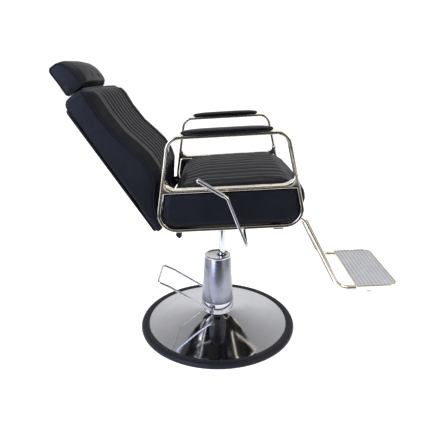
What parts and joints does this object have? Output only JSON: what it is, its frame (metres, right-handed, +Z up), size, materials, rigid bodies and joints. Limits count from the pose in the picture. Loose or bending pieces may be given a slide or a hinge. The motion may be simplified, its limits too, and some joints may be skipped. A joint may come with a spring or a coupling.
{
  "type": "styling chair",
  "caption": "Hydraulic salon styling chair: round pump base, reclining channelled back with headrest, chromed bent-bar arm frames and a tubular footrest.",
  "frame": {"origin": "centre of the base's flat underside, on the floor", "axes": "+X the sitter's forward, toward the footrest; +Y the sitter's left; +Z up"},
  "size_m": [1.1394, 0.6483, 0.9855],
  "materials": {
    "chrome": "bright chrome plate on steel, mirror polished",
    "pump_cover_metal": "satin grey steel sleeve",
    "ring_rubber": "moulded charcoal rubber, matt",
    "dark_steel": "black powder coat on steel",
    "bare_steel": "turned steel, lightly oiled",
    "vinyl": "black artificial leather with a fine grain",
    "cushion": null,
    "arm_pad_plastic": "glossy black moulded polyurethane",
    "guide_plastic": "black nylon",
    "plywood": "bare plywood, hidden under the upholstery",
    "tread_aluminium": "ribbed extruded aluminium, satin"
  },
  "bodies": {
    "base": {"base_trim_ring": "ring_rubber", "base_plate": "dark_steel", "base_dish": "chrome", "pump_collar": "chrome", "pump_cylinder": "bare_steel", "ram_bush": "bare_steel", "ram_wiper": "ring_rubber", "pump_cover": "pump_cover_metal", "pump_cap": "chrome", "plunger_block": "bare_steel", "plunger_spring": "bare_steel"},
    "pedal": {"pedal_shaft": "bare_steel", "pedal_bar": "chrome", "pedal_cam": "bare_steel"},
    "plunger": {"pump_plunger": "bare_steel"},
    "column": {"ram": "chrome"},
    "seat": {"swivel_hub": "dark_steel", "mount_plate": "dark_steel", "seat_rail_left": "dark_steel", "seat_rail_right": "dark_steel", "rear_cross_tube": "chrome", "front_cross_strap": "dark_steel", "frame_bolt_left": "chrome", "frame_bolt_right": "chrome", "side_frame_left": "chrome", "side_frame_right": "chrome", "seat_side_panel_left": "vinyl", "seat_side_panel_right": "vinyl", "arm_pad_left": "arm_pad_plastic", "arm_pad_right": "arm_pad_plastic", "seat_board": "plywood", "seat_cushion": "cushion", "pivot_bracket_left": "dark_steel", "pivot_bracket_right": "dark_steel", "pivot_pin_left": "bare_steel", "pivot_pin_right": "bare_steel", "under_bracket": "dark_steel", "strut_front_pin": "bare_steel", "footrest_tube": "chrome", "footrest_clamp": "dark_steel", "footrest_rim": "chrome", "footrest_tread": "tread_aluminium", "footrest_bumper_left": "ring_rubber", "footrest_bumper_right": "ring_rubber"},
    "back": {"back_rear_panel": "vinyl", "back_board": "plywood", "back_cushion": "cushion", "hinge_arm_left": "dark_steel", "hinge_arm_right": "dark_steel", "back_strut_lug": "dark_steel", "strut_rear_pin": "bare_steel", "post_guide": "guide_plastic"},
    "headrest": {"headrest_posts": "chrome", "headrest_board": "plywood", "headrest_pad": "cushion"},
    "lever": {"lever_rod": "chrome", "lever_grip": "chrome", "release_cam": "bare_steel"},
    "lock_body": {"lock_cylinder": "dark_steel"},
    "lock_piston": {"lock_rod": "chrome"}
  },
  "joints": [
    {"name": "ram_lift", "type": "slide", "parent": "base", "child": "column", "axis": [0, 0, 1], "range_m": [-0.135, 0.03]},
    {"name": "seat_swivel", "type": "hinge", "parent": "column", "child": "seat", "pos_m": [0.0155, 0, 0.475], "axis": [0, 0, 1], "continuous": true},
    {"name": "recline", "type": "hinge", "parent": "seat", "child": "back", "pos_m": [-0.16813, 0, 0.53484], "axis": [0, 1, 0], "range_deg": [0, 24]},
    {"name": "headrest_slide", "type": "slide", "parent": "back", "child": "headrest", "axis": [-0.5476, 0, 0.8368], "range_m": [0, 0.09]},
    {"name": "recline_lever", "type": "hinge", "parent": "seat", "child": "lever", "pos_m": [0.08859, 0, 0.45755], "axis": [0, 1, 0], "range_deg": [0, 12], "stiffness_Nm_per_rad": 1.5, "springref_deg": -28.65},
    {"name": "pedal_press", "type": "hinge", "parent": "base", "child": "pedal", "pos_m": [-0.022, 0, 0.092], "axis": [0, -1, 0], "range_deg": [0, 25], "stiffness_Nm_per_rad": 3, "springref_deg": -34.38},
    {"name": "plunger_stroke", "type": "slide", "parent": "base", "child": "plunger", "axis": [0, 0, -1], "range_m": [0, 0.0072], "deforming": ["plunger_spring"]},
    {"name": "lock_pivot", "type": "hinge", "parent": "seat", "child": "lock_body", "pos_m": [0.06859, 0.055, 0.45693], "axis": [0, 1, 0], "range_deg": [-0.7, 0.1]},
    {"name": "lock_extend", "type": "slide", "parent": "lock_body", "child": "lock_piston", "axis": [-0.9968, 0, -0.0801], "range_m": [0, 0.0415]}
  ],
  "couplings": [
    {"joint": "plunger_stroke", "follows": "pedal_press", "m_per_rad": 0.0162},
    {"joint": "lock_pivot", "follows": "recline", "ratio": -0.02},
    {"joint": "lock_extend", "follows": "recline", "m_per_rad": 0.0985}
  ]
}
